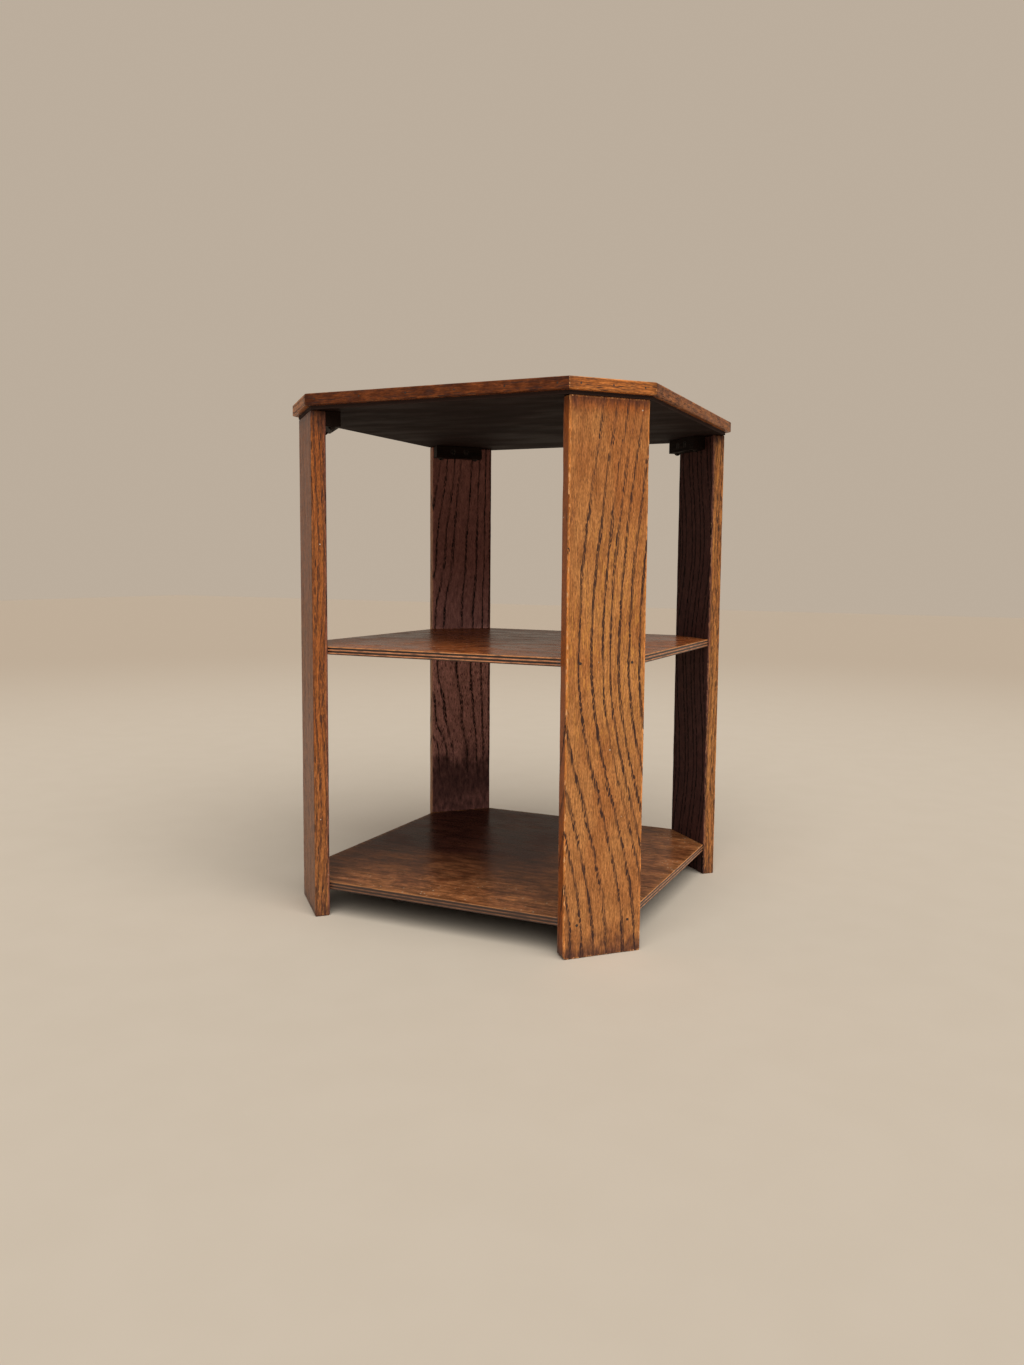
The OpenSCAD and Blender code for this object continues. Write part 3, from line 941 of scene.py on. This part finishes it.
def oak_fibres(wood, colour, streaks, clear):
    """A colour with streaks, hairs and flecks, and golden streaks, partly painted highlight, where rings
    are strong.
    """
    hairs = wood.fibre.noise((0.8, 0.8, 8), 1.0)
    golden = wood.fibre.noise((1.5, 1.5, 16))
    flecks = wood.fibre.noise((1, 1, 2.6), 1.0)
    colour = wood.mix(clear, colour, streaks.rise(0.34, 0.66, 0.9, 1.1), "MULTIPLY")
    colour = wood.mix(clear, colour, hairs.rise(0.34, 0.66, 0.77, 1.23), "MULTIPLY")
    # Golden streaks, partly wood colour and partly painted highlight; none on shaded or red faces
    gold_and_highlight = golden.rise(0.5, 0.66) * wood.strength.rise(0.95, 1.3, 0.0, 0.5)
    brown = 1.0 - wood.shade.math("MAXIMUM", wood.red)
    colour = (gold_and_highlight * brown).between(colour, OAK_GOLD_AND_HIGHLIGHT)
    return wood.mix(clear, colour, flecks.rise(0.3, 0.7, 0.86, 1.14), "MULTIPLY")


def oak(name, light, deep, worn, grime):
    """Stained, open-grained oak under a satin varnish, chipped along its arrises and specked."""
    wood = Oak(name)
    fibre = wood.fibre
    streaks = fibre.noise((1.3, 1.3, 22), 2.0, 0.6)
    clear = wood.shade.rise(0.0, 1.0, 1.0, 0.6) + wood.dust_and_light * 0.4
    band, pores = oak_pores(wood)
    colour = oak_ground(wood, light, deep, worn, grime)
    colour = oak_fibres(wood, colour, streaks, clear)
    colour = (band * 0.3).between(colour, grime)
    # Pores are darker on faces in painted shade
    pore_colour = wood.shade.between(OAK_PORE, OAK_PORE_IN_PAINTED_SHADE)
    colour = pores.math("MINIMUM", 0.96).between(colour, pore_colour)
    chips = fibre.noise((1.6, 1.6, 7)).rise(0.56, 0.65) * wood.edge.rise(1.7, 0.7)
    colour = (chips * clear).between(colour, OAK_CHIP)
    specks = fibre.cells((SPECK_SPACING,) * 3).rise(SPECK_SIZE, SPECK_SIZE * 0.6)
    colour = (specks * (1.0 - wood.shade)).between(colour, OAK_SPECK)
    rough = pores * 0.22 + OAK_ROUGHNESS + fibre.swing((9, 9, 40), 0.12) + wood.shade * 0.4
    normal = wood.bump(streaks * 0.35 - pores, 0.16, 0.8)
    return wood.done(Base_Color=colour, Roughness=rough, Specular_IOR_Level=0.08, Normal=normal)


def veneer():
    """The stained face of a plywood shelf, rubbed lighter and scuffed where books slide in, with painted
    light and shade.
    """
    shader = Shader("shelf_face")
    fibre = shader.attribute("fibre")
    edge, _, _ = shader.parts("finish")
    warm, _, rub = shader.parts("tone")
    streaks = fibre.noise((2.8, 2.8, 100), 3.0, 0.6)
    mottle = fibre.noise((20, 20, 34), 3.0, 0.6)
    wisps = fibre.noise((8, 8, 15), 4.0, 0.75)
    dark = mottle.rise().between(*FACE_DARK)
    bright = mottle.rise().between(*FACE_WORN_AND_LIT)
    # Painted shade at the back and left, wear and painted light towards the front and right
    colour = (rub + fibre.swing((26, 26, 60), 0.3)).between(dark, bright)
    colour = shader.mix(1.0, colour, streaks.rise(0.36, 0.64, 0.70, 1.30), "MULTIPLY")
    wispy = rub.rise(0.1, 0.9, 0.4, 0.9)
    colour = shader.mix(wispy, colour, wisps.rise(0.36, 0.64, 0.60, 1.42), "MULTIPLY")
    colour = shader.mix(warm, colour, FACE_WARM, "MULTIPLY")
    pores = fibre.cells((2.2, 2.2, 10)).rise(0.32, 0.18, 0.0, 0.45)
    colour = pores.between(colour, FACE_PORE)
    worn = edge.rise(9.0, 0.5) * streaks.rise(0.42, 0.6)
    colour = (worn * 0.5).between(colour, FACE_WORN)
    scuffs = fibre.cells((8, 8, 5)).rise(0.20, 0.12)
    scuffs = scuffs * mottle.rise(0.44, 0.62) * rub.rise(0.5, 1.0)
    colour = (scuffs * 0.9).between(colour, FACE_SCUFF)
    rough = mottle.rise(0.3, 0.7, 0.20, 0.34) + fibre.swing((3, 3, 8), 0.1)
    normal = shader.bump(streaks, 0.06, 0.6)
    return shader.done(Base_Color=colour, Roughness=rough, Specular_IOR_Level=0.016, Normal=normal)


def ply_edge():
    """The edge of a shelf: light plies of long grain and dark ones of end grain."""
    shader = Shader("shelf_edge")
    fibre = shader.attribute("fibre")
    count = shader.attribute("ply", "Fac")
    _, grime, _ = shader.parts("tone")
    wave = (count * 0.5).math("FRACT")
    dark_ply = (wave - 0.75).math("ABSOLUTE").rise(0.31, 0.26)
    streaks = fibre.noise((9, 0.3, 9), 2.0, 0.6)
    blotch = fibre.noise((14, 3, 14), 2.0, 0.6)
    light_ply = streaks.rise().between(*PLY_LIGHT)
    end_ply = streaks.rise().between(*PLY_END)
    colour = dark_ply.between(light_ply, end_ply)
    # The upper ply is rubbed lighter, partly wear and partly a painted highlight along its arris
    rubbed = count.rise(0.75, 0.4) * blotch.rise(0.66, 0.5, 0.2, 0.8)
    colour = rubbed.between(colour, PLY_RUBBED_AND_HIGHLIGHT)
    colour = blotch.rise(0.47, 0.7, 0.0, 0.6).between(colour, PLY_BLOTCH)
    # The lowest ply is darkened, partly grime and partly painted shade under its arris
    colour = count.rise(4.3, 4.6, 0.0, 0.9).between(colour, PLY_LOWEST_GRIME_AND_SHADE)
    grime = grime * count.rise(0.1, 0.5, 0.4, 1.0)
    colour = grime.between(colour, PLY_GRIME)
    rough = streaks.rise(0.3, 0.7, 0.5, 0.35)
    return shader.done(Base_Color=colour, Roughness=rough, Normal=shader.bump(streaks, 0.08, 0.7))


def underside():
    """The lower face of a board, near-black as painted shade, its rim paler as painted light, with a few
    faint scratches.
    """
    shader = Shader("dark_underside")
    fibre = shader.attribute("fibre")
    edge, _, _ = shader.parts("finish")
    streaks = fibre.noise((1.6, 1.6, 40), 3.0, 0.6)
    mottle = fibre.noise((30, 30, 70))
    scratch = fibre.noise((0.35, 0.35, 60), 0.0)
    # Near-black as painted shade; the rim is paler as painted light against the shadow under the lipping
    colour = streaks.rise().between(*UNDER_GRAIN_IN_PAINTED_SHADE)
    colour = mottle.rise(0.4, 0.7, 0.0, 0.5).between(colour, UNDER_MOTTLE_IN_PAINTED_SHADE)
    colour = edge.rise(1.2, 0.3).between(colour, UNDER_EDGE_PAINTED_LIGHT)
    colour = scratch.rise(0.78, 0.84, 0.0, 0.5).between(colour, UNDER_SCRATCH)
    rough = mottle.rise(0.3, 0.7, 0.7, 0.9)
    normal = shader.bump(streaks, 0.08, 0.6)
    return shader.done(Base_Color=colour, Roughness=rough, Specular_IOR_Level=0.06, Normal=normal)


def batten():
    """Plain stained softwood of the corner blocks, left from the saw, near-black as painted shade under the
    top.
    """
    shader = Shader("block_wood")
    fibre = shader.attribute("fibre")
    edge, _, _ = shader.parts("finish")
    streaks = fibre.noise((0.9, 0.9, 40), 3.0, 0.6)
    saw = fibre.noise((40, 40, 1.2), 1.0)
    colour = streaks.rise().between(*BATTEN_GRAIN_IN_PAINTED_SHADE)
    colour = edge.rise(1.6, 0.2, 0.0, 0.4).between(colour, BATTEN_EDGE_IN_PAINTED_SHADE)
    rough = streaks.rise(0.3, 0.7, 0.7, 0.5)
    normal = shader.bump(streaks + saw, 0.1, 0.7)
    return shader.done(Base_Color=colour, Roughness=rough, Specular_IOR_Level=0.05, Normal=normal)


def wax_stopping():
    """Dark wax pressed over the punched nail heads."""
    shader = Shader("wax_stopping")
    grains = shader.place().noise((0.5, 0.5, 0.5))
    colour = grains.rise(0.35, 0.65).between(*WAX_GRAIN)
    rough = grains.rise(0.3, 0.7, 0.35, 0.55)
    return shader.done(Base_Color=colour, Roughness=rough, Normal=shader.bump(grains, 0.08, 0.8))


def old_steel():
    """Dull steel, with brown rust in patches, near-black partly as stained-over steel and partly as painted
    shade.
    """
    shader = Shader("old_steel")
    place = shader.place()
    patches = place.noise((2.5, 2.5, 2.5), 3.0, 0.6)
    grain = place.noise((0.3, 0.3, 0.3))
    colour = grain.rise().between(*STEEL_GRAIN)
    colour = patches.rise(0.42, 0.58, 0.0, 0.85).between(colour, STEEL_RUST)
    rough = patches.rise(0.35, 0.65, 0.45, 0.75)
    bare = patches.rise(0.42, 0.58, 1.0, 0.2)
    normal = shader.bump(grain, 0.03, 0.6)
    return shader.done(Base_Color=colour, Roughness=rough, Metallic=bare, Normal=normal)


def pale_floor():
    """An even floor that goes over into the backdrop's colour further off."""
    shader = Shader("pale_floor")
    place = shader.place()
    near = place.noise((60, 60, 60), 3.0).rise().between(*FLOOR_NEAR)
    colour = place.length().rise(900.0, 3500.0).between(near, FLOOR_FAR)
    return shader.done(Base_Color=colour, Roughness=0.7, Specular_IOR_Level=0.2)


def dress(piece, *materials):
    """Gives a piece its materials, in the order of its slots."""
    piece.data.materials.clear()
    for material in materials:
        piece.data.materials.append(material)


def settle(piece, node):
    """Puts a finished piece in the place of its CAD node."""
    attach(piece, "root")
    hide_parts(node)


def make_plate(node, slot, profile, tilts, materials, **grain):
    """A shelf or the top panel, with its materials sorted by how far polygons look up."""
    low, high = (corner[2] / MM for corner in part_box(node))
    piece, *outline = loft_plate(node, profile(low, high))
    grain_plate(piece, outline, (low, high), **grain)
    dress(piece, *materials)
    for polygon in piece.data.polygons:
        polygon.material_index = sum(polygon.normal.z < tilt for tilt in tilts)
    settle(piece, node)


def dress_fasteners():
    """Gives the carried-over nails, pins, screws and stopping their finish."""
    steel = old_steel()
    wax = wax_stopping()
    for node in ("mid_shelf_nails", "low_shelf_nails", "lipping_pins", "leg_screws", "top_screws"):
        dress(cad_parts[node], steel)
    for node in ("nail_stopping", "pin_stopping"):
        dress(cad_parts[node], wax)


def build_table():
    """Builds each wooden piece in its material, and finishes the fasteners."""
    leg_oak = oak("leg_oak", *LEG_OAK)
    lipping_oak = oak("lipping_oak", *LIPPING_OAK)
    top_oak = oak("top_oak", *TOP_OAK)
    shelf_face = veneer()
    shelf_edge = ply_edge()
    dark_under = underside()
    block_wood = batten()
    for place, corner in enumerate(CORNERS):
        leg = make_leg(corner)
        dress(leg, leg_oak)
        settle(leg, f"{corner}_leg")
        block = make_block(corner, BLOCK_SEED + place)
        dress(block, block_wood)
        settle(block, f"{corner}_block")
    for place, (side, angle) in enumerate({**SIDES, **CORNERS}.items()):
        strip = make_strip(side, angle, STRIP_SEED + place)
        dress(strip, lipping_oak)
        settle(strip, f"{side}_lipping")
    shelf = ("shelf_ply", shelf_profile, SHELF_TILTS, (shelf_face, shelf_edge, dark_under))
    make_plate("mid_shelf", *shelf, seed=5, first_tone=1.0, rub=MID_SHELF_WEAR_AND_LIGHT)
    make_plate("low_shelf", *shelf, seed=8, first_tone=0.0, front_grime=LOW_SHELF_GRIME)
    panel = ("panel_ply", panel_profile, PANEL_TILTS, (top_oak, dark_under))
    make_plate("top_panel", *panel, seed=13, first_tone=TOP_RINGS, top_joint=True)
    dress_fasteners()


def place_camera():
    """A camera at the photograph's place, with its lens and its small shift."""
    lens = bpy.data.cameras.new("camera")
    lens.sensor_width = SENSOR_MM
    lens.lens = FOCAL_PIXELS / IMAGE_HEIGHT * SENSOR_MM
    lens.shift_x = (IMAGE_WIDTH / 2 - CENTRE_U) / IMAGE_HEIGHT
    lens.shift_y = (CENTRE_V - IMAGE_HEIGHT / 2) / IMAGE_HEIGHT
    camera = bpy.data.objects.new("camera", lens)
    turn = Matrix.Rotation(CAMERA_AZIMUTH, 4, "Z") @ Matrix.Rotation(math.pi / 2 - CAMERA_PITCH, 4, "X")
    roll = Matrix.Rotation(-CAMERA_ROLL, 4, "Z")
    camera.matrix_world = Matrix.Translation(CAMERA_PLACE) @ turn @ roll
    bpy.context.scene.collection.objects.link(camera)
    bpy.context.scene.camera = camera


def lay_floor():
    """A wide flat floor under the table."""
    square = np.array([(-1, -1, 0), (1, -1, 0), (1, 1, 0), (-1, 1, 0)])
    floor = mesh_piece("floor", square * FLOOR_REACH, [[0, 1, 2, 3]])
    dress(floor, pale_floor())


def soft_sun():
    """One even light from far away, soft as a wide window."""
    lamp = bpy.data.lights.new("soft_sun", "SUN")
    lamp.energy = SUN_STRENGTH
    lamp.angle = SUN_WIDTH
    lamp.color = SUN_COLOUR
    holder = bpy.data.objects.new("soft_sun", lamp)
    level = math.cos(SUN_HEIGHT)
    towards = Vector((level * math.cos(SUN_AZIMUTH), level * math.sin(SUN_AZIMUTH), math.sin(SUN_HEIGHT)))
    holder.rotation_euler = towards.to_track_quat("Z", "Y").to_euler()
    bpy.context.scene.collection.objects.link(holder)


def surround():
    """Dim even light all round, and a paler backdrop to be seen and mirrored."""
    shader = Shader("surrounding", bpy.data.worlds, "World")
    seen = shader.node("LightPath", "Is Camera Ray", {})
    for kind in ("Is Glossy Ray", "Is Transmission Ray"):
        seen = seen.math("MAXIMUM", shader.node("LightPath", kind, {}))
    room = shader.node("Background", 0, {"Color": ROOM_LIGHT})
    backdrop = shader.node("Background", 0, {"Color": BACKDROP})
    light = shader.node("MixShader", 0, {"Fac": seen, 1: room, 2: backdrop})
    shader.feed(shader.output.inputs["Surface"], light)
    bpy.context.scene.world = shader.owner


place_camera()
build_table()
lay_floor()
soft_sun()
surround()
bpy.context.scene.view_settings.view_transform = "Standard"
